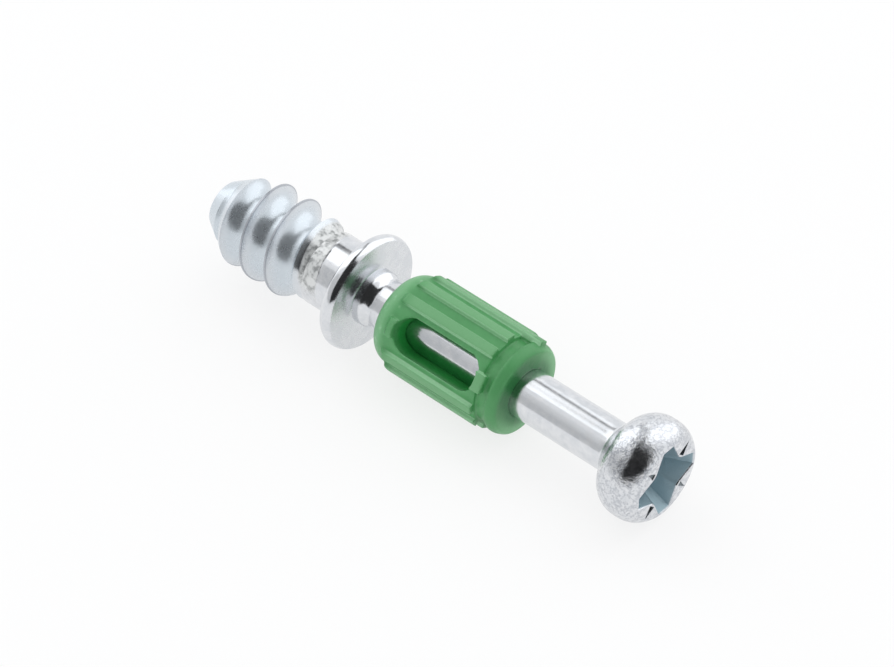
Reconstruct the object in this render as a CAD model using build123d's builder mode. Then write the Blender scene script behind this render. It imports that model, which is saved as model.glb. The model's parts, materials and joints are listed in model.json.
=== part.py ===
from build123d import *
from math import asin, atan2, ceil, cos, degrees, hypot, radians, sin, tan
import os

# Connecting bolt for a cam fitting. A steel bolt screws into a board with its coarse
# thread, stops on its collar and holds out a thin shank with a round head for the cam to
# grip. A ribbed plastic sleeve sits on the shank and guides it in the other board's hole.
#
# Frame: millimetres, +Z up, +X towards the head, z = 0 the surface that the bolt lies on.
# It rests on its collar and its head, so its axis falls slightly towards the head.
# Lengths along the bolt are counted from the thread side of the collar, towards the head.

# Threaded end
thread_reach = 11.6
thread_diameter = 6.4
thread_root_diameter = 4.5
thread_pitch = 2.1
thread_flank_angle = 30.0
thread_crest_width = 0.12
thread_start_angle = 12.5
tip_diameter = 3.3
tip_angle = 32.0
runout_start = 5.1
runout_end_diameter = 4.8
neck_diameter = 5.1
neck_length = 2.9
neck_chamfer = 0.12
trim_margin = 0.4

# Collar and shank
collar_diameter = 8.0
collar_thickness = 0.9
collar_rim_bulge = 0.16
boss_diameter = 3.8
boss_height = 0.6
boss_cone = 0.4
shank_diameter = 3.3

# Head
head_diameter = 6.9
head_centre = 23.1
head_band_width = 0.3
head_side_radius = 1.85
head_front = 1.62
head_back = 1.6
head_under_angle = 57.0

# Cross recess in the head, with a mark on each land between its wings
recess_depth = 2.4
recess_wing_reach = 2.55
recess_wing_width = 0.95
recess_land_reach = 1.55
recess_land_radius = 0.25
recess_floor_share = 0.43
recess_point = 0.45
mark_inner = 1.62
mark_outer = 2.5
mark_width = 0.3
mark_depth = 0.25

# Guide sleeve
sleeve_start = 3.15
sleeve_length = 10.55
sleeve_clearance = 0.03
sleeve_wall_diameter = 6.2
sleeve_shoulder_radius = 1.25
rib_height = 0.33
rib_width = 0.73
rib_step_angle = 26.4
rib_start = 1.3
rib_chamfer = 0.3
long_rib_reach = 0.6
window_rib_width = 1.35
nose_length = 0.85
nose_diameter = 6.3
nose_bevel_length = 0.5
nose_bevel_height = 0.3
nose_fall = 0.16
groove_width = 0.85
groove_diameter = 5.7
window_start = 1.95
window_length = 6.65
window_width = 2.5
window_angle = 146.9

collar_radius = collar_diameter / 2
head_radius = head_diameter / 2
shank_radius = shank_diameter / 2
head_face = head_centre + head_front

# Centres of the arcs round the collar's rim, and beside the head's narrow band
collar_rim_radius = collar_rim_bulge / 2 + collar_thickness**2 / (8 * collar_rim_bulge)
rim_x = collar_thickness / 2
rim_y = collar_radius - collar_rim_radius
side_x = head_centre + head_band_width / 2
side_y = head_radius - head_side_radius

# The floor is the tangent to both arcs, and the bolt's axis leans by its angle to them.
span = hypot(side_x - rim_x, side_y - rim_y)
fall = atan2(side_y - rim_y, side_x - rim_x)
lean = asin((collar_rim_radius - head_side_radius) / span) - fall
seat_height = rim_x * sin(lean) + rim_y * cos(lean) + collar_rim_radius
seat_x = (thread_reach - head_face) / 2

along = Vector(cos(lean), 0, -sin(lean))
level = Vector(0, 1, 0)
upward = along.cross(level)
seat = Vector(seat_x, 0, seat_height)
bolt_axis = Axis(seat, along)


def radial(turn):
    """Direction square to the axis, turned from level towards upward."""
    return level * cos(radians(turn)) + upward * sin(radians(turn))


def half_plane(turn):
    """Plane through the axis: its x runs along the bolt and its y out from the axis."""
    return Plane(origin=seat, x_dir=along, z_dir=along.cross(radial(turn)))


def cross_plane(x):
    """Plane square to the axis at x: its x is level and its y points up."""
    return Plane(origin=seat + along * x, x_dir=level, z_dir=along)


# The thread is a closed shell of helical strips, one set for each turn: a flank up to the
# crest, the crest, a flank down, and the root as far as the next turn. It starts before the
# tip and ends past the neck's start, and is cut to its length and its tapers afterwards.
root_radius = thread_root_diameter / 2
crest_radius = thread_diameter / 2
half_crest = thread_crest_width / 2
half_ridge = half_crest + (crest_radius - root_radius) * tan(radians(thread_flank_angle))
thread_turns = ceil(thread_reach / thread_pitch) + 1
ridge_start = -thread_turns * thread_pitch - half_ridge
ridge_end = -half_ridge
turn_profile = [
    (0, root_radius),
    (half_ridge - half_crest, crest_radius),
    (half_ridge + half_crest, crest_radius),
    (2 * half_ridge, root_radius),
    (thread_pitch, root_radius),
]


def helix_turn(x, radius):
    """One right-handed turn of a helix that starts at x, in the thread's own half-plane."""
    start = Plane(origin=seat + along * x, x_dir=radial(thread_start_angle), z_dir=along)
    return start.location * Edge.make_helix(thread_pitch, thread_pitch, radius)


def thread_end(x):
    """Faces that close the shell at x: a helical cap and a flat side one pitch long."""
    centre = [seat + along * x, seat + along * (x + thread_pitch)]
    outer = [
        seat + along * (x + step) + radial(thread_start_angle) * radius
        for step, radius in turn_profile
    ]
    cap = Face.make_surface_from_curves(Edge.make_line(*centre), helix_turn(x, root_radius))
    side = Face(Wire.make_polygon([centre[0], *outer, centre[1]], close=True))
    return [cap, side]


thread_faces = thread_end(ridge_start) + thread_end(ridge_end)
for turn in range(thread_turns):
    start = ridge_start + turn * thread_pitch
    for (near, near_radius), (far, far_radius) in zip(turn_profile, turn_profile[1:]):
        near_edge = helix_turn(start + near, near_radius)
        far_edge = helix_turn(start + far, far_radius)
        thread_faces.append(Face.make_surface_from_curves(near_edge, far_edge))
thread_blank = Solid(Shell(thread_faces))


def recess_outline(x, share):
    """Star at x: a wing on each quarter, and between them the rounded tips of the lands."""
    corners = []
    for quarter in range(4):
        wing = radians(90 * quarter)
        land = radians(90 * quarter + 45)
        for across in (-recess_wing_width / 2, recess_wing_width / 2):
            level_reach = recess_wing_reach * cos(wing) - across * sin(wing)
            upward_reach = recess_wing_reach * sin(wing) + across * cos(wing)
            corners.append((level_reach * share, upward_reach * share))
        land_reach = recess_land_reach * share
        corners.append((land_reach * cos(land), land_reach * sin(land)))
    with BuildSketch(cross_plane(x)) as outline:
        Polygon(*corners, align=None)
        land_tips = outline.vertices().sort_by_distance((0, 0, 0))[:4]
        fillet(land_tips, recess_land_radius * share)
    return outline.sketch


recess_floor = head_face - recess_depth
with BuildPart() as recess:
    loft([recess_outline(head_face, 1), recess_outline(recess_floor, recess_floor_share)])
    with BuildSketch(half_plane(90)):
        with BuildLine():
            Polyline(
                (recess_floor, 0),
                (recess_floor, recess_land_reach * recess_floor_share),
                (recess_floor - recess_point, 0),
                close=True,
            )
        make_face()
    revolve(axis=bolt_axis)

with BuildPart() as bolt:
    add(thread_blank)
    # Lead-in cone at the tip, and a run-out cone that lets the crest fade before the neck
    clear_radius = crest_radius + trim_margin
    tip_radius = tip_diameter / 2
    tip_run = (clear_radius - tip_radius) / tan(radians(tip_angle))
    runout_slope = (crest_radius - runout_end_diameter / 2) / (runout_start - neck_length)
    runout_run = (clear_radius - crest_radius) / runout_slope
    inside_neck = neck_chamfer - neck_length
    with BuildSketch(half_plane(90)):
        with BuildLine():
            Polyline(
                (-thread_reach, 0),
                (-thread_reach, tip_radius),
                (tip_run - thread_reach, clear_radius),
                (-runout_start - runout_run, clear_radius),
                (inside_neck, runout_end_diameter / 2 - runout_slope * neck_chamfer),
                (inside_neck, 0),
                close=True,
            )
        make_face()
    revolve(axis=bolt_axis, mode=Mode.INTERSECT)

    # Neck, with the small step where the thread ends
    with BuildSketch(half_plane(90)) as neck_half:
        Rectangle(neck_length, neck_diameter / 2, align=(Align.MAX, Align.MIN))
        neck_corner = neck_half.vertices().sort_by_distance((-neck_length, neck_diameter / 2, 0))[0]
        chamfer(neck_corner, neck_chamfer)
    revolve(axis=bolt_axis)

    # Collar, with a rim that bulges all round
    with BuildSketch(half_plane(90)):
        rim_edge = collar_radius - collar_rim_bulge
        with BuildLine():
            Polyline((0, rim_edge), (0, 0), (collar_thickness, 0), (collar_thickness, rim_edge))
            ThreePointArc((collar_thickness, rim_edge), (rim_x, collar_radius), (0, rim_edge))
        make_face()
    revolve(axis=bolt_axis)

    # Boss at the root of the shank, and the shank
    with BuildSketch(half_plane(90)):
        boss_top = collar_thickness + boss_height
        with BuildLine():
            Polyline(
                (collar_thickness, 0),
                (collar_thickness, boss_diameter / 2),
                (boss_top, boss_diameter / 2),
                (boss_top + boss_cone, shank_radius),
                (head_centre, shank_radius),
                (head_centre, 0),
                close=True,
            )
        make_face()
    revolve(axis=bolt_axis)

    # Head: a narrow band between two bulging sides, a flat face and a sloping underside
    back_run = head_back - head_band_width / 2
    front_run = head_front - head_band_width / 2
    back_radius = side_y + (head_side_radius**2 - back_run**2) ** 0.5
    face_radius = side_y + (head_side_radius**2 - front_run**2) ** 0.5
    under_run = (back_radius - shank_radius) / tan(radians(head_under_angle))
    head_start = head_centre - head_back
    root_x = head_start - under_run
    with BuildSketch(half_plane(90)):
        with BuildLine():
            Polyline((root_x, 0), (root_x, shank_radius), (head_start, back_radius))
            RadiusArc(
                (head_start, back_radius),
                (head_centre - head_band_width / 2, head_radius),
                head_side_radius,
            )
            Line((head_centre - head_band_width / 2, head_radius), (side_x, head_radius))
            RadiusArc((side_x, head_radius), (head_face, face_radius), head_side_radius)
            Polyline((head_face, face_radius), (head_face, 0), (root_x, 0))
        make_face()
    revolve(axis=bolt_axis)

    add(recess.part, mode=Mode.SUBTRACT)

    # Marks on the lands, wide towards the recess and pointed towards the rim
    with BuildSketch(cross_plane(head_face)):
        with PolarLocations(0, 4, start_angle=45):
            Polygon(
                (mark_inner, -mark_width / 2),
                (mark_outer, 0),
                (mark_inner, mark_width / 2),
                align=None,
            )
    extrude(amount=-mark_depth, mode=Mode.SUBTRACT)
bolt.part.label = "bolt"

# Guide sleeve
bore_radius = shank_radius + sleeve_clearance
wall_radius = sleeve_wall_diameter / 2
rib_radius = wall_radius + rib_height
nose_tip_radius = nose_diameter / 2
sleeve_end = sleeve_start + sleeve_length
nose_back = sleeve_end - nose_length
groove_back = nose_back - groove_width


def rib_side(turn, end):
    """Side view of a rib from the shoulder to end, with a chamfered start."""
    base_radius = (bore_radius + groove_diameter / 2) / 2
    with BuildSketch(half_plane(turn)) as side:
        with BuildLine():
            Polyline(
                (sleeve_start + rib_start, base_radius),
                (sleeve_start + rib_start, wall_radius),
                (sleeve_start + rib_start + rib_chamfer, rib_radius),
                (end, rib_radius),
                (end, base_radius),
                close=True,
            )
        make_face()
    return side.sketch


with BuildPart() as guide_sleeve:
    with BuildSketch(half_plane(90)) as wall_half:
        with BuildLine():
            Polyline(
                (sleeve_start, bore_radius),
                (sleeve_start, wall_radius),
                (groove_back, wall_radius),
                (groove_back, groove_diameter / 2),
                (nose_back, groove_diameter / 2),
                (nose_back, nose_tip_radius),
                (sleeve_end - nose_bevel_length, nose_tip_radius),
                (sleeve_end, nose_tip_radius - nose_bevel_height),
                (sleeve_end, bore_radius),
                close=True,
            )
        make_face()
        shoulder = wall_half.vertices().sort_by_distance((sleeve_start, wall_radius, 0))[0]
        fillet(shoulder, sleeve_shoulder_radius)
    revolve(axis=bolt_axis)

    # The sleeve has two halves, each with a window. Ribs stand evenly on both sides of the
    # parting line, and one of the two on it runs on over the groove to the nose. A wider
    # rib stands in line with each window, which leaves only its ends.
    rib_arc = degrees(rib_width / rib_radius)
    window_rib_arc = degrees(window_rib_width / rib_radius)
    for window_turn in (window_angle, window_angle - 180):
        for step in range(-2, 3):
            is_long = step == 0 and window_turn < 0
            end = nose_back + long_rib_reach if is_long else groove_back
            rib_turn = window_turn + 90 + step * rib_step_angle - rib_arc / 2
            revolve(rib_side(rib_turn, end), axis=bolt_axis, revolution_arc=rib_arc)
        rib_turn = window_turn - window_rib_arc / 2
        revolve(rib_side(rib_turn, groove_back), axis=bolt_axis, revolution_arc=window_rib_arc)

    # Windows through both walls
    window_centre = seat + along * (sleeve_start + window_start + window_length / 2)
    with BuildSketch(Plane(origin=window_centre, x_dir=along, z_dir=radial(window_angle))):
        SlotOverall(window_length, window_width)
    extrude(amount=rib_radius, both=True, mode=Mode.SUBTRACT)

    # The end face falls away on both sides of the parting line
    with BuildSketch(half_plane(window_angle)):
        for side in (-1, 1):
            with BuildLine():
                Polyline(
                    (sleeve_end, 0),
                    (sleeve_end + nose_fall, side * rib_radius),
                    (sleeve_end - nose_fall, side * rib_radius),
                    close=True,
                )
            make_face()
    extrude(amount=rib_radius, both=True, mode=Mode.SUBTRACT)
guide_sleeve.part.label = "guide_sleeve"

os.makedirs("parts", exist_ok=True)
export_step(bolt.part, "parts/bolt.step")
export_step(guide_sleeve.part, "parts/guide_sleeve.step")
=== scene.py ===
import json
from math import asin, atan2, cos, degrees, hypot, pi, radians, sin, sqrt, tan

import bmesh
import bpy
from mathutils import Matrix, Vector


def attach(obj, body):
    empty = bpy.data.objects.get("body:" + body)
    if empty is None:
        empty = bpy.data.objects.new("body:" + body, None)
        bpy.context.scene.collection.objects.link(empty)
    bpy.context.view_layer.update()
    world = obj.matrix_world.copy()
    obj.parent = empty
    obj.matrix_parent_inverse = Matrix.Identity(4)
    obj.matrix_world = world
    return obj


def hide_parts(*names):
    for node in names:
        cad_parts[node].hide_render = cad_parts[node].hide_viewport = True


# Looks of a connecting bolt for a cam fitting: a zinc-plated bolt and its green guide sleeve.
# Pieces are modelled in millimetres along the X axis, with x = 0 at the thread side of the
# collar, and are then laid on the frame's own axis in metres.

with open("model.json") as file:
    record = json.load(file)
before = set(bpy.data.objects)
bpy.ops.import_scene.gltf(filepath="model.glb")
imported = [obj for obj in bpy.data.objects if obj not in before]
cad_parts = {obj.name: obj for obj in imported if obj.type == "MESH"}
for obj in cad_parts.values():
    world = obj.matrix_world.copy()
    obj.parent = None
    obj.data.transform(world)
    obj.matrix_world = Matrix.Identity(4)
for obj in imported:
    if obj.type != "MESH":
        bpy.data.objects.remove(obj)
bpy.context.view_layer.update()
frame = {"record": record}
mounts = {mount["name"]: mount for mount in frame["record"]["mounts"]}

MM = 0.001

# Threaded end
THREAD_REACH = 11.6
THREAD_TURNS = 7
CREST_RADIUS = 3.2
ROOT_RADIUS = 2.25
PITCH = 2.1
FLANK_ANGLE = 15.0
CREST_WIDTH = 0.12
VALLEY_RADIUS = 0.45
LONG_SIDE = 1.35
START_TURN = 12.5
TIP_RADIUS = 1.65
TIP_ANGLE = 32.0
RUNOUT_START = 5.1
RUNOUT_RADIUS = 2.4
NECK_RADIUS = 2.55
NECK_LENGTH = 2.9
NECK_CHAMFER = 0.12

# Spare lengths of the thread before it is cut to shape
SPARE_AT_TIP = 1.0
SPARE_IN_NECK = 0.3

# How far the solid that it is cut to reaches into the neck, and outside the crest
CUT_IN_NECK = 0.15
CUT_MARGIN = 0.3

# Collar and shank
COLLAR_RADIUS = 4.0
COLLAR_THICKNESS = 0.9
COLLAR_BULGE = 0.16
COLLAR_FILLET = 0.12
BOSS_RADIUS = 1.9
BOSS_HEIGHT = 0.6
BOSS_CONE = 0.4
BOSS_FILLET = 0.15
SHANK_RADIUS = 1.65

# Head
HEAD_RADIUS = 3.45
HEAD_CENTRE = 23.1
HEAD_BAND = 0.3
HEAD_SIDE_RADIUS = 1.85
HEAD_FRONT = 1.62
HEAD_BACK = 1.6
HEAD_UNDER_ANGLE = 57.0
HEAD_NECK_RADIUS = 0.35
HEAD_FACE = HEAD_CENTRE + HEAD_FRONT
HEAD_START = HEAD_CENTRE - HEAD_BACK
FACE_HUB_RADIUS = 0.2

# Cross recess, with its outlines as shares of the one just inside its flared mouth
RECESS_DEPTH = 2.4
WING_REACH = 2.55
WING_WIDTH = 0.95
LAND_REACH = 1.55
LAND_BEVEL = 0.2
ABOVE_FACE = 0.05
OUTER_SHARE = 1.055
MOUTH_SHARE = 1.035
FLARE_SHARE = 1.015
FLARE_DEPTH = 0.04
LIP_DEPTH = 0.08
FLOOR_SHARE = 0.43
FLOOR_ROUND_DEPTH = 0.12
FLOOR_ROUND_SHARE = 0.7
RECESS_POINT = 0.45
POINT_SHARE = 0.02

# Marks between the wings, of which two opposite ones are deep and two are faint
MARK_INNER = 1.78
MARK_OUTER = 2.8
MARK_WIDTH = 0.5
MARK_DEPTH = 0.8
FAINT_MARK_SHARE = 0.1
MARK_MOUTH_WIDTH_SHARE = 1.15
MARK_FLOOR_WIDTH_SHARE = 0.35
MARK_FLOOR_LENGTH_SHARE = 0.8

# Guide sleeve
SLEEVE_START = 3.15
SLEEVE_LENGTH = 10.55
SLEEVE_END = SLEEVE_START + SLEEVE_LENGTH
BORE_RADIUS = 1.62
WALL_RADIUS = 3.1
SHOULDER_RADIUS = 1.25
RIB_HEIGHT = 0.33
RIB_START = 1.3
RIB_FOOT = SLEEVE_START + RIB_START
RIB_CHAMFER = 0.3
RIB_STEP = 26.4
RIB_ARC = 12.0
WINDOW_RIB_ARC = 22.0
LONG_RIB_REACH = 0.6
WINDOW_RIB_REACH = 0.4
NOSE_LENGTH = 0.85
NOSE_START = SLEEVE_END - NOSE_LENGTH
NOSE_RADIUS = 3.15
NOSE_BEVEL_LENGTH = 0.5
NOSE_BEVEL_HEIGHT = 0.3
NOSE_FALL = 0.16
GROOVE_WIDTH = 0.85
GROOVE_START = NOSE_START - GROOVE_WIDTH
GROOVE_RADIUS = 2.85
WINDOW_START = 1.95
WINDOW_LENGTH = 6.65
WINDOW_WIDTH = 2.5
WINDOW_TURN = 146.9
WINDOW_CUT = 10

# Fineness of the meshes
THREAD_STEPS = 120
BODY_STEPS = 144
SLEEVE_STEPS = 180
ARC_STEPS = 14
WINDOW_STEPS = 64
SLEEVE_VOXEL = 0.074
SLEEVE_SMOOTHING = 5
SAME_POINT = 0.0005
TOLERANCE = 0.01
SMOOTH_ANGLE = 32

# Turn of the side that faces the camera, from level towards upward
FRONT_TURN = 127.9

along = Vector(mounts["cross_recess"]["axis"]).normalized()
level = Vector((0, 1, 0))
upward = along.cross(level)
seat = Vector(mounts["cross_recess"]["pos_m"]) - along * HEAD_FACE * MM
lay_down = Matrix.Translation(seat) @ Matrix((along, level, upward)).transposed().to_4x4()
lay_down = lay_down @ Matrix.Scale(MM, 4)


# Helpers for modelling


def new_piece(name):
    """One vertex at the origin, in edit mode and selected, to draw a profile from."""
    bpy.ops.object.select_all(action="DESELECT")
    bpy.ops.mesh.primitive_plane_add(size=1, enter_editmode=True)
    bpy.context.object.name = name
    bpy.ops.mesh.merge(type="CENTER")
    return bpy.context.object


def draw(points):
    """Moves the selected vertex to the first point, and extrudes it along the others."""
    bpy.ops.transform.translate(value=(*points[0], 0))
    for here, there in zip(points, points[1:]):
        step = (there[0] - here[0], there[1] - here[1], 0)
        bpy.ops.mesh.extrude_vertices_move(TRANSFORM_OT_translate={"value": step})


def arc(centre, radius, start, end, steps):
    """Points round a centre from one angle to another, in degrees."""
    turns = [radians(start + (end - start) * i / steps) for i in range(steps + 1)]
    return [(centre[0] + radius * cos(t), centre[1] + radius * sin(t)) for t in turns]


def run(start, end, steps):
    """Evenly spaced points between two, without the first."""
    return [
        (start[0] + (end[0] - start[0]) * i / steps, start[1] + (end[1] - start[1]) * i / steps)
        for i in range(1, steps + 1)
    ]


def apply(piece, kind, **settings):
    """Adds a modifier with these settings and applies it."""
    modifier = piece.modifiers.new(kind.title(), kind)
    for key, value in settings.items():
        setattr(modifier, key, value)
    bpy.context.view_layer.objects.active = piece
    piece.select_set(True)
    bpy.ops.object.modifier_apply(modifier=modifier.name)


def turn_round(piece, steps):
    """Turns a drawn profile about the X axis into a closed solid."""
    bpy.ops.object.mode_set(mode="OBJECT")
    apply(piece, "SCREW", axis="X", steps=steps, render_steps=steps, use_merge_vertices=True)
    close_up(piece)


def close_up(piece):
    """Merges doubles, and turns the faces outwards."""
    bpy.context.view_layer.objects.active = piece
    bpy.ops.object.mode_set(mode="EDIT")
    bpy.ops.mesh.select_all(action="SELECT")
    bpy.ops.mesh.remove_doubles(threshold=SAME_POINT)
    bpy.ops.mesh.normals_make_consistent(inside=False)
    bpy.ops.object.mode_set(mode="OBJECT")


def combine(piece, other, operation):
    """Boolean of two solids, which uses up the second."""
    apply(piece, "BOOLEAN", object=other, operation=operation, solver="EXACT")
    bpy.data.objects.remove(other)


def select_points(piece, test):
    """Selects the vertices that pass the test, in edit mode."""
    bpy.ops.mesh.select_all(action="DESELECT")
    mesh = bmesh.from_edit_mesh(piece.data)
    for vertex in mesh.verts:
        vertex.select_set(bool(test(vertex.co)))
    mesh.select_flush(True)
    bmesh.update_edit_mesh(piece.data)


def turn_about_axis(turn):
    """Turns what is selected about the X axis, from +Y towards +Z."""
    bpy.ops.transform.rotate(
        value=-radians(turn), orient_axis="X", orient_type="GLOBAL", center_override=(0, 0, 0)
    )


def place(piece):
    """Lays the piece on the frame's axis, in metres, with its place in its mesh."""
    piece.data.transform(lay_down)
    piece.data.update()


# Helpers for materials


def new_material(name):
    """A material with its node tree and its shader."""
    material = bpy.data.materials.new(name)
    material.use_nodes = True
    return material, material.node_tree, material.node_tree.nodes["Principled BSDF"]


def node(tree, kind, **values):
    """A new node, with these values for its sockets or else for its own settings."""
    made = tree.nodes.new(kind)
    for key, value in values.items():
        if key in made.inputs:
            made.inputs[key].default_value = value
        else:
            setattr(made, key, value)
    return made


def link(tree, source, target):
    """Links an output to an input."""
    tree.links.new(source, target)


def maths(tree, operation, *values):
    """The result of a calculation with outputs of nodes or plain numbers."""
    made = node(tree, "ShaderNodeMath", operation=operation)
    for socket, value in zip(made.inputs, values):
        if isinstance(value, float):
            socket.default_value = value
        else:
            link(tree, value, socket)
    return made.outputs["Value"]


def times(tree, first, *others):
    """The product of shares, which is high only where all of them are."""
    for other in others:
        first = maths(tree, "MULTIPLY", first, other)
    return first


def ramp(tree, value, low, high, at_low=0.0, at_high=1.0):
    """Maps a value from low..high to other numbers, smoothly and within them."""
    made = node(tree, "ShaderNodeMapRange", interpolation_type="SMOOTHSTEP")
    made.inputs["From Min"].default_value = low
    made.inputs["From Max"].default_value = high
    made.inputs["To Min"].default_value = at_low
    made.inputs["To Max"].default_value = at_high
    link(tree, value, made.inputs["Value"])
    return made.outputs["Result"]


def scaled(tree, share, at_none, at_all):
    """A number that goes from one value to another as a share goes from 0 to 1."""
    return ramp(tree, share, 0.0, 1.0, at_none, at_all)


def noise(tree, spot, scale, detail=3.0, roughness=0.5):
    """Cloudy noise, with that many clouds to a millimetre."""
    made = node(tree, "ShaderNodeTexNoise", Scale=scale, Detail=detail, Roughness=roughness)
    link(tree, spot, made.inputs["Vector"])
    return made.outputs["Fac"]


def tint(tree, share, base, colour):
    """Mixes a colour over the base by a share."""
    made = node(tree, "ShaderNodeMix", data_type="RGBA")
    link(tree, share, made.inputs["Factor"])
    link(tree, base, made.inputs["A"])
    made.inputs["B"].default_value = (*colour, 1)
    return made.outputs["Result"]


def two_colours(tree, value, low, first, high, second):
    """Goes from the first colour at the low value to the second at the high one."""
    made = node(tree, "ShaderNodeValToRGB")
    made.color_ramp.elements[0].position = low
    made.color_ramp.elements[0].color = (*first, 1)
    made.color_ramp.elements[1].position = high
    made.color_ramp.elements[1].color = (*second, 1)
    link(tree, value, made.inputs["Fac"])
    return made.outputs["Color"]


def bump(tree, height, depth, normal=None):
    """Bump of that depth in millimetres, on top of another one if there is one."""
    made = node(tree, "ShaderNodeBump", Strength=1.0, Distance=depth * MM)
    link(tree, height, made.inputs["Height"])
    if normal:
        link(tree, normal, made.inputs["Normal"])
    return made.outputs["Normal"]


def share_along(tree, spot, way):
    """How far the place lies along a direction."""
    share = node(tree, "ShaderNodeVectorMath", operation="DOT_PRODUCT")
    share.inputs[1].default_value = way
    link(tree, spot, share.inputs[0])
    return share.outputs["Value"]


def round_axis(tree, spot):
    """The direction round the axis at that place, with its distance from the axis as length."""
    made = node(tree, "ShaderNodeVectorMath", operation="CROSS_PRODUCT")
    made.inputs[1].default_value = along
    link(tree, spot, made.inputs[0])
    return made.outputs["Vector"]


def place_on_bolt(tree):
    """The place from the seat, and its length, radius and turn about the axis.

    Lengths are in millimetres, and the turn is in radians from the side that faces the camera.
    """
    from_seat = node(tree, "ShaderNodeVectorMath", operation="SUBTRACT")
    from_seat.inputs[1].default_value = seat
    link(tree, node(tree, "ShaderNodeTexCoord").outputs["Object"], from_seat.inputs[0])
    in_mm = node(tree, "ShaderNodeVectorMath", operation="SCALE")
    in_mm.inputs["Scale"].default_value = 1 / MM
    link(tree, from_seat.outputs["Vector"], in_mm.inputs[0])
    spot = in_mm.outputs["Vector"]
    radius = node(tree, "ShaderNodeVectorMath", operation="LENGTH")
    link(tree, round_axis(tree, spot), radius.inputs[0])
    front, beside = (
        level * cos(radians(up_turn)) + upward * sin(radians(up_turn))
        for up_turn in (FRONT_TURN, FRONT_TURN + 90)
    )
    turn = maths(
        tree, "ARCTAN2", share_along(tree, spot, beside), share_along(tree, spot, front)
    )
    return spot, share_along(tree, spot, along), radius.outputs["Value"], turn


def facing_round(tree, spot):
    """1 where the surface faces round the axis, and 0 where it faces outwards or along it."""
    unit = node(tree, "ShaderNodeVectorMath", operation="NORMALIZE")
    link(tree, round_axis(tree, spot), unit.inputs[0])
    share = node(tree, "ShaderNodeVectorMath", operation="DOT_PRODUCT")
    link(tree, unit.outputs["Vector"], share.inputs[0])
    link(tree, node(tree, "ShaderNodeNewGeometry").outputs["Normal"], share.inputs[1])
    return maths(tree, "ABSOLUTE", share.outputs["Value"])


# Plated steel

PLATE_DARK = (0.67, 0.69, 0.72)
PLATE_LIGHT = (0.78, 0.79, 0.81)
SCUFF_GREY = (0.44, 0.46, 0.5)
PORE_GREY = (0.5, 0.52, 0.56)
THREAD_BLUE = (0.61, 0.67, 0.72)
RECESS_BLUE = (0.31, 0.42, 0.47)
MARK_PAINTED_SHADE = (0.04, 0.045, 0.05)
CREST_PAINTED_REFLECTION = (0.34, 0.36, 0.4)
RUNOUT_GREY = (0.66, 0.67, 0.66)
SPECK_GREY = (0.22, 0.23, 0.23)


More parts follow.
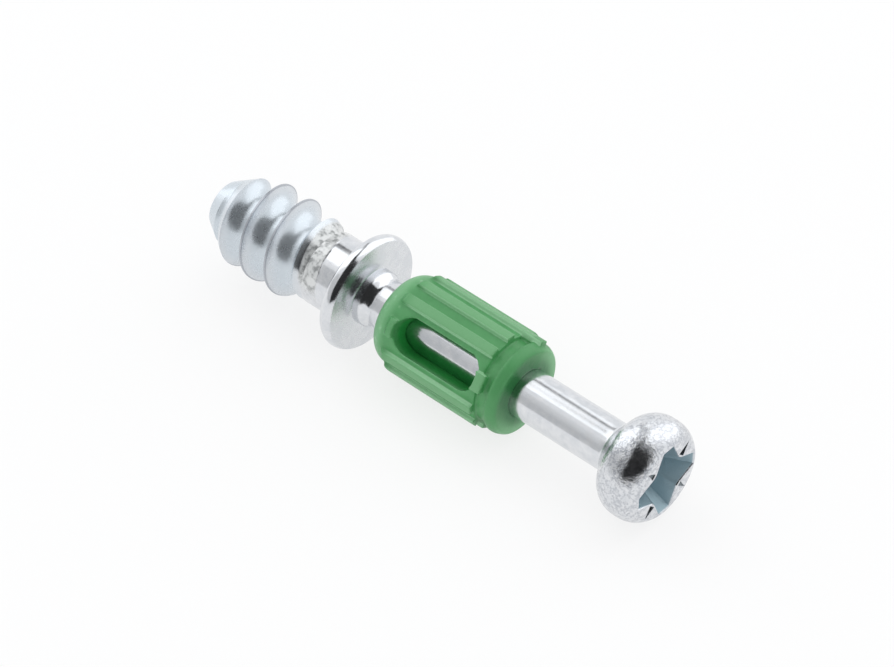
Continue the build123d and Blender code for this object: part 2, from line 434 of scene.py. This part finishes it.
def zinc_plate():
    """Bright plate, scuffed on the head, bluer in the recess and thread, rough at its run-out,
    with painted shade in the marks and a painted dark reflection along the crests.
    """
    material, tree, shader = new_material("zinc_plate")
    spot, length, radius, turn = place_on_bolt(tree)
    on_head = ramp(tree, length, HEAD_START - 0.6, HEAD_START + 0.1)
    on_thread = ramp(tree, length, 0.3 - NECK_LENGTH, -1.3 - NECK_LENGTH)
    on_collar = times(
        tree,
        ramp(tree, length, COLLAR_THICKNESS - 0.1, COLLAR_THICKNESS - 0.02),
        ramp(tree, length, COLLAR_THICKNESS + 0.7, COLLAR_THICKNESS + 0.3),
    )
    # The rough end of the thread follows its last turn
    unrolled = maths(tree, "ADD", length, maths(tree, "MULTIPLY", turn, -PITCH / (2 * pi)))
    at_runout = times(
        tree,
        ramp(tree, unrolled, -3.5, -3.2),
        ramp(tree, unrolled, -1.75, -2.0),
        ramp(tree, turn, 1.2, 0.5),
    )
    in_recess = times(
        tree,
        ramp(tree, length, HEAD_FACE - 0.01, HEAD_FACE - 0.12),
        ramp(tree, length, HEAD_START + 0.05, HEAD_START + 0.15),
        ramp(tree, radius, MARK_OUTER, MARK_OUTER - 0.08),
    )
    # This cosine is -1 halfway between the wings, where the marks are
    four_turns = maths(tree, "MULTIPLY_ADD", turn, 4.0, radians(4 * FRONT_TURN))
    in_mark = times(
        tree,
        ramp(tree, maths(tree, "COSINE", four_turns), -0.8, -0.9),
        in_recess,
        ramp(tree, radius, MARK_INNER - 0.05, MARK_INNER),
    )

    mottle = noise(tree, spot, 1.6, 4.0, 0.6)
    colour = two_colours(tree, mottle, 0.35, PLATE_DARK, 0.7, PLATE_LIGHT)
    scuffs = noise(tree, spot, 1.5, 6.0, 0.7)
    scuff_lines = times(tree, ramp(tree, scuffs, 0.46, 0.5), ramp(tree, scuffs, 0.54, 0.5))
    worn = times(tree, scaled(tree, scuff_lines, 0.0, 0.85), on_head)
    colour = tint(tree, worn, colour, SCUFF_GREY)
    pores = ramp(tree, noise(tree, spot, 6.0, 3.0, 0.6), 0.56, 0.66, 0.0, 0.4)
    colour = tint(tree, times(tree, pores, on_head), colour, PORE_GREY)
    bluer = ramp(tree, radius, CREST_RADIUS, 2.4, 0.3, 0.9)
    colour = tint(tree, times(tree, on_thread, bluer), colour, THREAD_BLUE)
    colour = tint(tree, in_recess, colour, RECESS_BLUE)
    # Painted shade: the marks are tinted near black, as shade falls in them.
    colour = tint(tree, in_mark, colour, MARK_PAINTED_SHADE)
    on_crest = ramp(tree, radius, CREST_RADIUS - 0.12, CREST_RADIUS - 0.03, 0.0, 0.7)
    # Painted reflection: a dark line is tinted along the crests of the thread.
    colour = tint(tree, times(tree, on_crest, on_thread), colour, CREST_PAINTED_REFLECTION)
    colour = tint(tree, scaled(tree, at_runout, 0.0, 0.8), colour, RUNOUT_GREY)
    specks = noise(tree, spot, 2.3, 3.0, 0.6)
    dark_specks = times(tree, ramp(tree, specks, 0.43, 0.66, 0.0, 0.85), at_runout)
    colour = tint(tree, dark_specks, colour, SPECK_GREY)
    link(tree, colour, shader.inputs["Base Color"])

    # The recess, the thread and most of all its run-out are less metallic than the rest
    dull = maths(
        tree, "MAXIMUM", scaled(tree, in_recess, 0.0, 0.5), scaled(tree, on_thread, 0.0, 0.3)
    )
    dull = maths(tree, "MAXIMUM", dull, scaled(tree, at_runout, 0.0, 0.6))
    link(tree, scaled(tree, dull, 1.0, 0.0), shader.inputs["Metallic"])
    roughness = ramp(tree, mottle, 0.3, 0.7, 0.12, 0.2)
    roughness = maths(tree, "ADD", roughness, scaled(tree, on_thread, 0.0, 0.13))
    satin = maths(
        tree, "MAXIMUM", scaled(tree, in_recess, 0.0, 0.2), scaled(tree, on_collar, 0.0, 0.1)
    )
    link(tree, maths(tree, "ADD", roughness, satin), shader.inputs["Roughness"])

    dents = times(tree, noise(tree, spot, 1.1, 1.0), on_head)
    normal = bump(tree, dents, 0.05)
    marks = times(tree, noise(tree, spot, 5.0, 2.0), on_head)
    normal = bump(tree, marks, 0.011, normal)
    grain = times(tree, noise(tree, spot, 12.0, 2.0, 0.6), scaled(tree, on_head, 0.1, 1.0))
    normal = bump(tree, grain, 0.014, normal)
    pits = times(tree, specks, at_runout)
    normal = bump(tree, pits, 0.035, normal)
    link(tree, normal, shader.inputs["Normal"])
    return material


# Moulded plastic

GREEN_DARK = (0.052, 0.262, 0.077)
GREEN_LIGHT = (0.075, 0.315, 0.104)
RIB_PAINTED_SHEEN = (0.12, 0.345, 0.143)
SHOULDER_PAINTED_SHEEN = (0.175, 0.43, 0.205)
RUBBED_GREEN = (0.36, 0.6, 0.39)
NOSE_GREEN = (0.055, 0.26, 0.08)
BEVEL_PAINTED_LIGHT = (0.19, 0.47, 0.22)
BORE_PAINTED_SHADE = (0.012, 0.17, 0.04)
SHADED_GREEN = (0.02, 0.15, 0.04)
WINDOW_PAINTED_SHADE = (0.008, 0.3, 0.045)
EDGE_PAINTED_HIGHLIGHT = (0.24, 0.5, 0.27)


def green_plastic():
    """Plastic with painted sheen on its ribs, edges and shoulder, painted light on the nose's far
    bevel, and deep green painted shade near the shank, on the end face and in the windows.
    """
    material, tree, shader = new_material("green_plastic")
    spot, length, radius, turn = place_on_bolt(tree)
    from_camera_side = maths(tree, "ABSOLUTE", turn)

    cloud = noise(tree, spot, 0.9, 3.0)
    colour = two_colours(tree, cloud, 0.3, GREEN_DARK, 0.75, GREEN_LIGHT)
    on_rib = times(
        tree,
        ramp(tree, radius, WALL_RADIUS + 0.02, WALL_RADIUS + 0.3),
        ramp(tree, length, RIB_FOOT - 0.05, RIB_FOOT + 1.15),
    )
    # Painted sheen: the rib tops are tinted paler.
    colour = tint(tree, on_rib, colour, RIB_PAINTED_SHEEN)
    on_shoulder = ramp(tree, length, SLEEVE_START + 1.65, SLEEVE_START + 0.45)
    # Painted sheen: the rounded shoulder is tinted paler.
    colour = tint(tree, on_shoulder, colour, SHOULDER_PAINTED_SHEEN)
    rubbed = ramp(tree, noise(tree, spot, 1.4, 5.0, 0.65), 0.56, 0.68, 0.0, 0.45)
    rubbed = times(tree, rubbed, ramp(tree, length, RIB_FOOT + 0.45, RIB_FOOT - 0.05))
    colour = tint(tree, rubbed, colour, RUBBED_GREEN)

    # Nose, with painted light on the far side of its bevel, and painted shade on its end face near
    # the shank and on the side towards the camera
    on_nose = ramp(tree, length, NOSE_START - 0.15, NOSE_START - 0.05, 0.0, 0.8)
    colour = tint(tree, on_nose, colour, NOSE_GREEN)
    painted_light_on_bevel = times(
        tree,
        ramp(tree, length, SLEEVE_END - 0.3, SLEEVE_END - 0.08),
        ramp(tree, from_camera_side, 0.9, 1.9, 0.0, 0.9),
    )
    colour = tint(tree, painted_light_on_bevel, colour, BEVEL_PAINTED_LIGHT)
    at_end = ramp(tree, length, NOSE_START - 0.15, NOSE_START - 0.05)
    # Painted shade: the end face darkens towards the shank.
    near_shank = times(tree, ramp(tree, radius, 2.75, 1.8), at_end)
    colour = tint(tree, near_shank, colour, BORE_PAINTED_SHADE)
    shaded_end = times(
        tree,
        ramp(tree, radius, NOSE_RADIUS - 0.01, 2.3),
        ramp(tree, from_camera_side, 1.25, 0.5),
        at_end,
    )
    colour = tint(tree, shaded_end, colour, SHADED_GREEN)

    # Painted shade inside the windows, and painted highlight along the ribs' side walls
    in_window = times(
        tree,
        ramp(tree, radius, WALL_RADIUS - 0.1, 2.2),
        ramp(tree, length, GROOVE_START - 0.05, GROOVE_START - 0.15),
        ramp(tree, length, RIB_FOOT - 0.05, RIB_FOOT + 0.45),
    )
    colour = tint(tree, in_window, colour, WINDOW_PAINTED_SHADE)
    on_edge = times(
        tree,
        ramp(tree, facing_round(tree, spot), 0.4, 0.8),
        ramp(tree, radius, WALL_RADIUS - 0.1, WALL_RADIUS + 0.02),
        ramp(tree, length, RIB_FOOT + 0.15, RIB_FOOT + 1.15),
    )
    # Painted highlight: the ribs' side walls are tinted paler.
    colour = tint(tree, on_edge, colour, EDGE_PAINTED_HIGHLIGHT)
    link(tree, colour, shader.inputs["Base Color"])

    link(tree, scaled(tree, in_window, 0.42, 0.9), shader.inputs["Roughness"])
    shader.inputs["Specular IOR Level"].default_value = 0.6
    link(tree, bump(tree, noise(tree, spot, 3.0, 3.0), 0.02), shader.inputs["Normal"])
    return material


# Steel bolt


def threaded_end():
    """The screwed thread, cut square at the tip and inside the neck, and tapered at both."""
    thread = new_piece("thread")
    half_crest = CREST_WIDTH / 2
    depth = CREST_RADIUS - ROOT_RADIUS
    # The side that faces the head is one long hollow, from the crest to the root
    reach = LONG_SIDE - half_crest
    hollow = (reach**2 + depth**2) / (2 * depth)
    hollow_turn = degrees(asin(reach / hollow))
    hollow_centre = (LONG_SIDE, ROOT_RADIUS + hollow)
    long_side = arc(hollow_centre, hollow, 270 - hollow_turn, 270, ARC_STEPS)
    # The other side is a steep flank that runs into a small round at the root
    flank = radians(FLANK_ANGLE)
    drop = VALLEY_RADIUS * (1 - sin(flank))
    flank_foot = half_crest + (depth - drop) * tan(flank)
    valley = (flank_foot + VALLEY_RADIUS * cos(flank), ROOT_RADIUS + VALLEY_RADIUS)
    steep_side = [(half_crest, CREST_RADIUS)]
    steep_side += run(steep_side[0], (flank_foot, ROOT_RADIUS + drop), steps=3)
    steep_side += arc(valley, VALLEY_RADIUS, 180 + FLANK_ANGLE, 270, steps=6)[1:]
    steep_side += [(PITCH - LONG_SIDE, ROOT_RADIUS)]
    steep_side = [(-x, r) for x, r in reversed(steep_side)]
    first = -THREAD_TURNS * PITCH - PITCH * START_TURN / 360
    draw([(first + x, r) for x, r in steep_side + long_side])
    bpy.ops.object.mode_set(mode="OBJECT")
    apply(
        thread,
        "SCREW",
        axis="X",
        screw_offset=PITCH,
        iterations=THREAD_TURNS,
        steps=THREAD_STEPS,
        render_steps=THREAD_STEPS,
        use_merge_vertices=False,
    )
    close_up(thread)
    bpy.ops.object.mode_set(mode="EDIT")
    for x, outward in ((-THREAD_REACH - SPARE_AT_TIP, -1), (-NECK_LENGTH + SPARE_IN_NECK, 1)):
        bpy.ops.mesh.select_all(action="SELECT")
        bpy.ops.mesh.bisect(
            plane_co=(x, 0, 0), plane_no=(outward, 0, 0), use_fill=True, clear_outer=True
        )
    bpy.ops.object.mode_set(mode="OBJECT")
    close_up(thread)
    combine(thread, thread_envelope(), "INTERSECT")
    return thread


def thread_envelope():
    """What the thread is cut to: a cone at the tip, and one that lets the crest run out."""
    envelope = new_piece("envelope")
    clear = CREST_RADIUS + CUT_MARGIN
    tip_run = (clear - TIP_RADIUS) / tan(radians(TIP_ANGLE))
    slope = (CREST_RADIUS - RUNOUT_RADIUS) / (RUNOUT_START - NECK_LENGTH)
    runout_run = (clear - CREST_RADIUS) / slope
    inner = -NECK_LENGTH + CUT_IN_NECK
    draw(
        [
            (-THREAD_REACH, 0),
            (-THREAD_REACH, TIP_RADIUS),
            (-THREAD_REACH + tip_run, clear),
            (-RUNOUT_START - runout_run, clear),
            (inner, RUNOUT_RADIUS - CUT_IN_NECK * slope),
            (inner, 0),
        ]
    )
    turn_round(envelope, THREAD_STEPS)
    return envelope


def bolt_body():
    """Neck, collar, shank and head as one turned solid."""
    body = new_piece("body")
    rim_radius = COLLAR_BULGE / 2 + COLLAR_THICKNESS**2 / (8 * COLLAR_BULGE)
    rim_x = COLLAR_THICKNESS / 2
    rim_turn = degrees(asin(rim_x / rim_radius))
    rim_centre = (rim_x, COLLAR_RADIUS - rim_radius)
    rim = arc(rim_centre, rim_radius, 90 + rim_turn, 90 - rim_turn, ARC_STEPS)

    # Both sides of the head's narrow band
    side_y = HEAD_RADIUS - HEAD_SIDE_RADIUS
    back_turn = degrees(asin((HEAD_BACK - HEAD_BAND / 2) / HEAD_SIDE_RADIUS))
    front_turn = degrees(asin((HEAD_FRONT - HEAD_BAND / 2) / HEAD_SIDE_RADIUS))
    back_centre = (HEAD_CENTRE - HEAD_BAND / 2, side_y)
    front_centre = (HEAD_CENTRE + HEAD_BAND / 2, side_y)
    back_side = arc(back_centre, HEAD_SIDE_RADIUS, 90 + back_turn, 90, ARC_STEPS)
    front_side = arc(front_centre, HEAD_SIDE_RADIUS, 90, 90 - front_turn, ARC_STEPS)

    # The hollow round where the shank meets the head's underside
    under = radians(HEAD_UNDER_ANGLE)
    root_x = back_side[0][0] - (back_side[0][1] - SHANK_RADIUS) / tan(under)
    hollow_centre = (
        root_x - HEAD_NECK_RADIUS * tan(under / 2),
        SHANK_RADIUS + HEAD_NECK_RADIUS,
    )
    hollow = arc(hollow_centre, HEAD_NECK_RADIUS, 270, 270 + HEAD_UNDER_ANGLE, steps=8)

    # The profile, from the neck to the head's face
    neck_start = -NECK_LENGTH
    points = [(neck_start, 0), (neck_start, NECK_RADIUS - NECK_CHAMFER)]
    points += run(points[-1], (neck_start + NECK_CHAMFER, NECK_RADIUS), steps=2)
    points += run(points[-1], (-COLLAR_FILLET, NECK_RADIUS), steps=8)
    points += [(-COLLAR_FILLET / 3, NECK_RADIUS + COLLAR_FILLET / 4)]
    points += [(0, NECK_RADIUS + COLLAR_FILLET)]
    points += run(points[-1], rim[0], steps=8) + rim[1:]
    points += run(points[-1], (COLLAR_THICKNESS, BOSS_RADIUS + BOSS_FILLET), steps=10)
    points += [(COLLAR_THICKNESS + BOSS_FILLET / 3, BOSS_RADIUS + BOSS_FILLET / 5)]
    boss_top = COLLAR_THICKNESS + BOSS_HEIGHT
    points += run(points[-1], (boss_top, BOSS_RADIUS), steps=3)
    points += run(points[-1], (boss_top + BOSS_CONE, SHANK_RADIUS), steps=3)
    points += run(points[-1], hollow[0], steps=60) + hollow[1:]
    points += run(points[-1], back_side[0], steps=6) + back_side[1:]
    points += front_side
    points += run(points[-1], (HEAD_FACE, FACE_HUB_RADIUS), steps=14) + [(HEAD_FACE, 0)]
    draw(points)
    turn_round(body, BODY_STEPS)
    return body


def star_plate(x, share):
    """Flat star at x: four wings, with rounded land tips between them."""
    bpy.ops.object.select_all(action="DESELECT")
    bpy.ops.mesh.primitive_plane_add(size=WING_WIDTH, enter_editmode=True)
    star = bpy.context.object
    for quarter in range(4):
        outwards = Vector((cos(pi / 2 * quarter), sin(pi / 2 * quarter), 0))
        select_points(
            star,
            lambda co, outwards=outwards: co.length < WING_WIDTH
            and co.dot(outwards) > WING_WIDTH / 2 - TOLERANCE,
        )
        bpy.ops.mesh.extrude_region_move(
            TRANSFORM_OT_translate={"value": outwards * (WING_REACH - WING_WIDTH / 2)}
        )
    bpy.ops.mesh.select_all(action="SELECT")
    bpy.ops.mesh.dissolve_faces()
    select_points(star, lambda co: co.length < WING_WIDTH)
    land_share = LAND_REACH / (WING_WIDTH / 2 * sqrt(2))
    bpy.ops.transform.resize(value=(land_share, land_share, 1), center_override=(0, 0, 0))
    bpy.ops.mesh.bevel(offset=LAND_BEVEL, segments=6, affect="VERTICES")
    bpy.ops.mesh.select_all(action="SELECT")
    bpy.ops.transform.resize(value=(share, share, 1), center_override=(0, 0, 0))
    bpy.ops.transform.rotate(value=radians(-90), orient_axis="Y", center_override=(0, 0, 0))
    bpy.ops.transform.translate(value=(x, 0, 0))
    return star


def recess_cutter():
    """The recess as a solid: a flared mouth, tapering wings and a pointed floor."""
    x = HEAD_FACE + ABOVE_FACE
    share = OUTER_SHARE
    cutter = star_plate(x, share)
    for depth, next_share in (
        (ABOVE_FACE, MOUTH_SHARE),
        (FLARE_DEPTH, FLARE_SHARE),
        (LIP_DEPTH, 1.0),
        (RECESS_DEPTH, FLOOR_SHARE),
        (FLOOR_ROUND_DEPTH, FLOOR_SHARE * FLOOR_ROUND_SHARE),
        (RECESS_POINT - FLOOR_ROUND_DEPTH, POINT_SHARE),
    ):
        x -= depth
        bpy.ops.mesh.extrude_region_move(TRANSFORM_OT_translate={"value": (-depth, 0, 0)})
        change = next_share / share
        bpy.ops.transform.resize(value=(1, change, change), center_override=(x, 0, 0))
        share = next_share
    bpy.ops.object.mode_set(mode="OBJECT")
    close_up(cutter)
    return cutter


def mark_cutter(turn, depth):
    """A wedge, wide towards the recess and pointed towards the rim."""
    bpy.ops.object.select_all(action="DESELECT")
    bpy.ops.mesh.primitive_cylinder_add(vertices=3, radius=1, depth=1, enter_editmode=True)
    wedge = bpy.context.object
    mesh = bmesh.from_edit_mesh(wedge.data)
    corners = [(MARK_INNER, -MARK_WIDTH / 2), (MARK_OUTER, 0), (MARK_INNER, MARK_WIDTH / 2)]
    middle = (MARK_INNER + MARK_OUTER) / 2
    t = radians(turn)
    edges = {}
    for vertex in mesh.verts:
        edges.setdefault(round(degrees(atan2(vertex.co.y, vertex.co.x))), []).append(vertex)
    for edge_turn, (outward, across) in zip(sorted(edges), corners):
        for vertex in edges[edge_turn]:
            if vertex.co.z < 0:
                x = HEAD_FACE - depth
                reach = middle + (outward - middle) * MARK_FLOOR_LENGTH_SHARE
                side = across * MARK_FLOOR_WIDTH_SHARE
            else:
                x = HEAD_FACE + ABOVE_FACE
                reach = outward
                side = across * MARK_MOUTH_WIDTH_SHARE
            y = reach * cos(t) - side * sin(t)
            z = reach * sin(t) + side * cos(t)
            vertex.co = (x, y, z)
    bmesh.update_edit_mesh(wedge.data)
    bpy.ops.object.mode_set(mode="OBJECT")
    close_up(wedge)
    return wedge


def steel_bolt():
    """The whole bolt: its body with the thread, the recess and the marks."""
    bolt = bolt_body()
    combine(bolt, threaded_end(), "UNION")
    combine(bolt, recess_cutter(), "DIFFERENCE")
    for quarter in range(4):
        depth = MARK_DEPTH if quarter in (0, 2) else MARK_DEPTH * FAINT_MARK_SHARE
        combine(bolt, mark_cutter(45 + 90 * quarter, depth), "DIFFERENCE")
    close_up(bolt)
    bolt.name = "steel_bolt"
    return bolt


# Guide sleeve, modelled with a window on +Y and turned to its place at the end


def turned_wall():
    """The sleeve's tube, with a rounded shoulder, a groove and a nose that falls to both sides."""
    wall = new_piece("wall")
    shoulder_centre = (SLEEVE_START + SHOULDER_RADIUS, WALL_RADIUS - SHOULDER_RADIUS)
    points = [(SLEEVE_START, BORE_RADIUS)]
    points += arc(shoulder_centre, SHOULDER_RADIUS, 180, 90, steps=8)
    points += run(points[-1], (GROOVE_START, WALL_RADIUS), steps=6)
    points += [(GROOVE_START, GROOVE_RADIUS), (NOSE_START, GROOVE_RADIUS)]
    points += [(NOSE_START, NOSE_RADIUS), (SLEEVE_END - NOSE_BEVEL_LENGTH, NOSE_RADIUS)]
    # Two more points round the bevel
    points += [(SLEEVE_END - 0.2, NOSE_RADIUS - 0.12), (SLEEVE_END - 0.06, NOSE_RADIUS - 0.22)]
    points += [(SLEEVE_END, NOSE_RADIUS - NOSE_BEVEL_HEIGHT), (SLEEVE_END, BORE_RADIUS)]
    points += run(points[-1], (SLEEVE_START, BORE_RADIUS), steps=6)
    draw(points)
    turn_round(wall, SLEEVE_STEPS)
    for vertex in wall.data.vertices:
        if vertex.co.x > SLEEVE_END - NOSE_BEVEL_LENGTH - TOLERANCE:
            vertex.co.x -= NOSE_FALL * abs(vertex.co.y) / (WALL_RADIUS + RIB_HEIGHT)
    return wall


def rib(turn, arc_width, end):
    """A rib from the shoulder to end, with a chamfered start, spun through its own width."""
    piece = new_piece("rib")
    inside = (BORE_RADIUS + GROOVE_RADIUS) / 2
    top = WALL_RADIUS + RIB_HEIGHT
    side = [(RIB_FOOT, inside), (RIB_FOOT, WALL_RADIUS), (RIB_FOOT + RIB_CHAMFER, top)]
    side += [(end, top), (end, inside)]
    draw(side)
    bpy.ops.mesh.select_all(action="SELECT")
    bpy.ops.mesh.edge_face_add()
    turn_about_axis(turn + arc_width / 2)
    steps = round(arc_width / 2)
    bpy.ops.mesh.spin(steps=steps, angle=radians(arc_width), center=(0, 0, 0), axis=(1, 0, 0))
    bpy.ops.object.mode_set(mode="OBJECT")
    close_up(piece)
    return piece


def window_cutter():
    """A round-ended slot that goes through both walls."""
    bpy.ops.object.select_all(action="DESELECT")
    middle = SLEEVE_START + WINDOW_START + WINDOW_LENGTH / 2
    bpy.ops.mesh.primitive_cylinder_add(
        vertices=WINDOW_STEPS,
        radius=WINDOW_WIDTH / 2,
        depth=WINDOW_CUT,
        location=(middle, 0, 0),
        enter_editmode=True,
    )
    cutter = bpy.context.object
    stretch = (WINDOW_LENGTH - WINDOW_WIDTH) / 2
    for side in (-1, 1):
        select_points(cutter, lambda co, side=side: co.x * side > TOLERANCE)
        bpy.ops.transform.translate(value=(side * stretch, 0, 0))
    bpy.ops.mesh.select_all(action="SELECT")
    bpy.ops.transform.rotate(
        value=radians(90), orient_axis="X", orient_type="GLOBAL", center_override=(middle, 0, 0)
    )
    bpy.ops.object.mode_set(mode="OBJECT")
    bpy.ops.object.transform_apply(location=True, rotation=True, scale=True)
    close_up(cutter)
    return cutter


def guide_sleeve():
    """The whole sleeve: its wall with the ribs and windows, its edges rounded by the remesh."""
    sleeve = turned_wall()
    for half in (0, 180):
        for step in range(-2, 3):
            is_long = step == 0 and half == 180
            end = NOSE_START + LONG_RIB_REACH if is_long else GROOVE_START
            combine(sleeve, rib(half + 90 + step * RIB_STEP, RIB_ARC, end), "UNION")
        window_rib_end = GROOVE_START + (WINDOW_RIB_REACH if half == 0 else 0)
        combine(sleeve, rib(half, WINDOW_RIB_ARC, window_rib_end), "UNION")
    combine(sleeve, window_cutter(), "DIFFERENCE")
    close_up(sleeve)
    sleeve.name = "green_sleeve"
    apply(sleeve, "REMESH", mode="VOXEL", voxel_size=SLEEVE_VOXEL, adaptivity=0.0)
    apply(sleeve, "SMOOTH", factor=0.5, iterations=SLEEVE_SMOOTHING)
    bpy.ops.object.mode_set(mode="EDIT")
    bpy.ops.mesh.select_all(action="SELECT")
    turn_about_axis(WINDOW_TURN)
    bpy.ops.object.mode_set(mode="OBJECT")
    return sleeve


bolt = steel_bolt()
sleeve = guide_sleeve()

for piece, material, node_name, slot in (
    (bolt, zinc_plate(), "bolt", "zinc_plated_steel"),
    (sleeve, green_plastic(), "guide_sleeve", "green_plastic"),
):
    piece.data.materials.clear()
    piece.data.materials.append(material)
    place(piece)
    bpy.ops.object.select_all(action="DESELECT")
    piece.select_set(True)
    bpy.context.view_layer.objects.active = piece
    bpy.ops.object.shade_smooth_by_angle(angle=radians(SMOOTH_ANGLE))
    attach(piece, "root")
    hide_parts(node_name)


# Floor

FLOOR_SIZE = 2.0
FLOOR_GLOW = 0.97
FLOOR_GLOW_SHARE = 0.8


def seen_rays(tree):
    """1 for rays from the camera, off metal or through glass, and 0 for the others."""
    path = node(tree, "ShaderNodeLightPath")
    total = path.outputs["Is Camera Ray"]
    for kind in ("Is Glossy Ray", "Is Transmission Ray"):
        total = maths(tree, "MAXIMUM", total, path.outputs[kind])
    return total


def white_paper():
    """Matt white paper, which the camera and the metal see mostly as a white background."""
    material, tree, shader = new_material("white_paper")
    shader.inputs["Base Color"].default_value = (0.95, 0.95, 0.95, 1)
    shader.inputs["Roughness"].default_value = 0.9
    shader.inputs["Specular IOR Level"].default_value = 0.0
    glow = node(tree, "ShaderNodeEmission", Color=(1.0, 1.0, 1.0, 1), Strength=FLOOR_GLOW)
    both = node(tree, "ShaderNodeMixShader")
    link(tree, maths(tree, "MULTIPLY", seen_rays(tree), FLOOR_GLOW_SHARE), both.inputs[0])
    link(tree, shader.outputs["BSDF"], both.inputs[1])
    link(tree, glow.outputs["Emission"], both.inputs[2])
    link(tree, both.outputs["Shader"], tree.nodes["Material Output"].inputs["Surface"])
    return material


bpy.ops.object.select_all(action="DESELECT")
bpy.ops.mesh.primitive_plane_add(size=FLOOR_SIZE)
floor = bpy.context.object
floor.name = "floor"
floor.data.materials.append(white_paper())


# Camera directions, and the light

VIEW_AZIMUTH = radians(41.3)
VIEW_ELEVATION = radians(43.5)
VIEW_DISTANCE = 0.248
LENS = 161.07
AIM = 6.85
CAMERA_RIGHT = 0.254
CAMERA_UP = 0.404
STUDIO_WHITE = (0.98, 0.99, 1.0, 1)
BLACK = (0, 0, 0, 1)

back = Vector(
    (
        sin(VIEW_AZIMUTH) * cos(VIEW_ELEVATION),
        -cos(VIEW_AZIMUTH) * cos(VIEW_ELEVATION),
        sin(VIEW_ELEVATION),
    )
)
right = Vector((cos(VIEW_AZIMUTH), sin(VIEW_AZIMUTH), 0))
up = back.cross(right)
aim_point = seat + along * AIM * MM

world = bpy.data.worlds.new("studio")
bpy.context.scene.world = world
world.use_nodes = True
world.node_tree.nodes["Background"].inputs["Color"].default_value = STUDIO_WHITE
world.node_tree.nodes["Background"].inputs["Strength"].default_value = 1.0


def direction(sideways, upwards):
    """Direction that many degrees to the right and upwards from the one to the camera."""
    turn = radians(hypot(sideways, upwards))
    roll = atan2(upwards, sideways)
    return back * cos(turn) + (right * cos(roll) + up * sin(roll)) * sin(turn)


def panel(name, outline, distance, brightness, lights):
    """Flat panel whose corners stand in these directions, hidden from the camera.

    Metal mirrors each panel, and only one with lights=True also lights and shades the object.
    """
    corners = [direction(*corner) for corner in outline]
    facing = sum(corners, Vector()).normalized()
    bpy.ops.object.select_all(action="DESELECT")
    bpy.ops.mesh.primitive_circle_add(
        vertices=len(outline), radius=1, fill_type="NGON", enter_editmode=True
    )
    sheet = bpy.context.object
    sheet.name = name
    mesh = bmesh.from_edit_mesh(sheet.data)
    for vertex, corner in zip(mesh.verts, corners):
        vertex.co = aim_point + corner * distance / corner.dot(facing)
    bmesh.update_edit_mesh(sheet.data)
    bpy.ops.object.mode_set(mode="OBJECT")
    sheet.visible_camera = False
    sheet.visible_diffuse = lights
    sheet.visible_shadow = lights
    material, tree, shader = new_material(name)
    shader.inputs["Base Color"].default_value = BLACK
    shader.inputs["Specular IOR Level"].default_value = 0.0
    shader.inputs["Emission Color"].default_value = STUDIO_WHITE
    shader.inputs["Emission Strength"].default_value = brightness
    sheet.data.materials.append(material)


# What the metal mirrors, in degrees sideways and upwards from the direction to the camera
dark_card = [(-56, -30), (-60, -20), (-57, -8), (-53, 4), (-47, 14), (-38, 26), (-30, 38)]
dark_card += [(-24, 50), (-19, 63), (-6, 66), (0, 50), (5, 39), (18, 30), (32, 16)]
dark_card += [(41, 0), (39, -15), (28, -29), (10, -37), (-8, -40), (-30, -36)]
panel("dark_card", dark_card, distance=0.6, brightness=0.03, lights=False)

dark_strip = [(-14, 58), (-6, 68), (-2, 76), (-1, 85), (-8, 92), (-10, 102)]
dark_strip += [(2, 102), (4, 90), (3, 79), (2, 68), (3, 56)]
panel("dark_strip", dark_strip, distance=0.6, brightness=0.03, lights=False)

grey_card = [(-50, -30), (-56, 4), (-44, 30), (-70, 46), (-112, 40), (-100, -36)]
panel("grey_card", grey_card, distance=0.7, brightness=0.64, lights=False)

grey_strip = [(-10, 87), (5, 75), (10, 81), (-5, 94)]
panel("grey_strip", grey_strip, distance=0.4, brightness=0.4, lights=False)

left_softbox = [(-100, 60), (-62, 56), (-36, 46), (-29, 44), (-21, 57), (-7, 75), (-8, 84)]
left_softbox += [(-60, 94), (-100, 94)]
panel("left_softbox", left_softbox, distance=0.5, brightness=1.6, lights=True)

rear_softbox = [(3, 64), (6, 48), (16, 42), (40, 38), (64, 32), (97, 44), (99, 92), (50, 97)]
rear_softbox += [(12, 96), (6, 86)]
panel("rear_softbox", rear_softbox, distance=0.5, brightness=1.5, lights=True)


# Camera

lens = bpy.data.cameras.new("camera")
lens.lens = LENS
lens.sensor_width = 36
lens.clip_start = 0.01
lens.clip_end = 10
camera = bpy.data.objects.new("camera", lens)
bpy.context.scene.collection.objects.link(camera)
aside = right * CAMERA_RIGHT + up * CAMERA_UP
camera.location = aim_point + (back * VIEW_DISTANCE) + aside * MM
camera.rotation_mode = "QUATERNION"
camera.rotation_quaternion = (-back).to_track_quat("-Z", "Y")
bpy.context.scene.camera = camera

bpy.context.scene.view_settings.view_transform = "Standard"
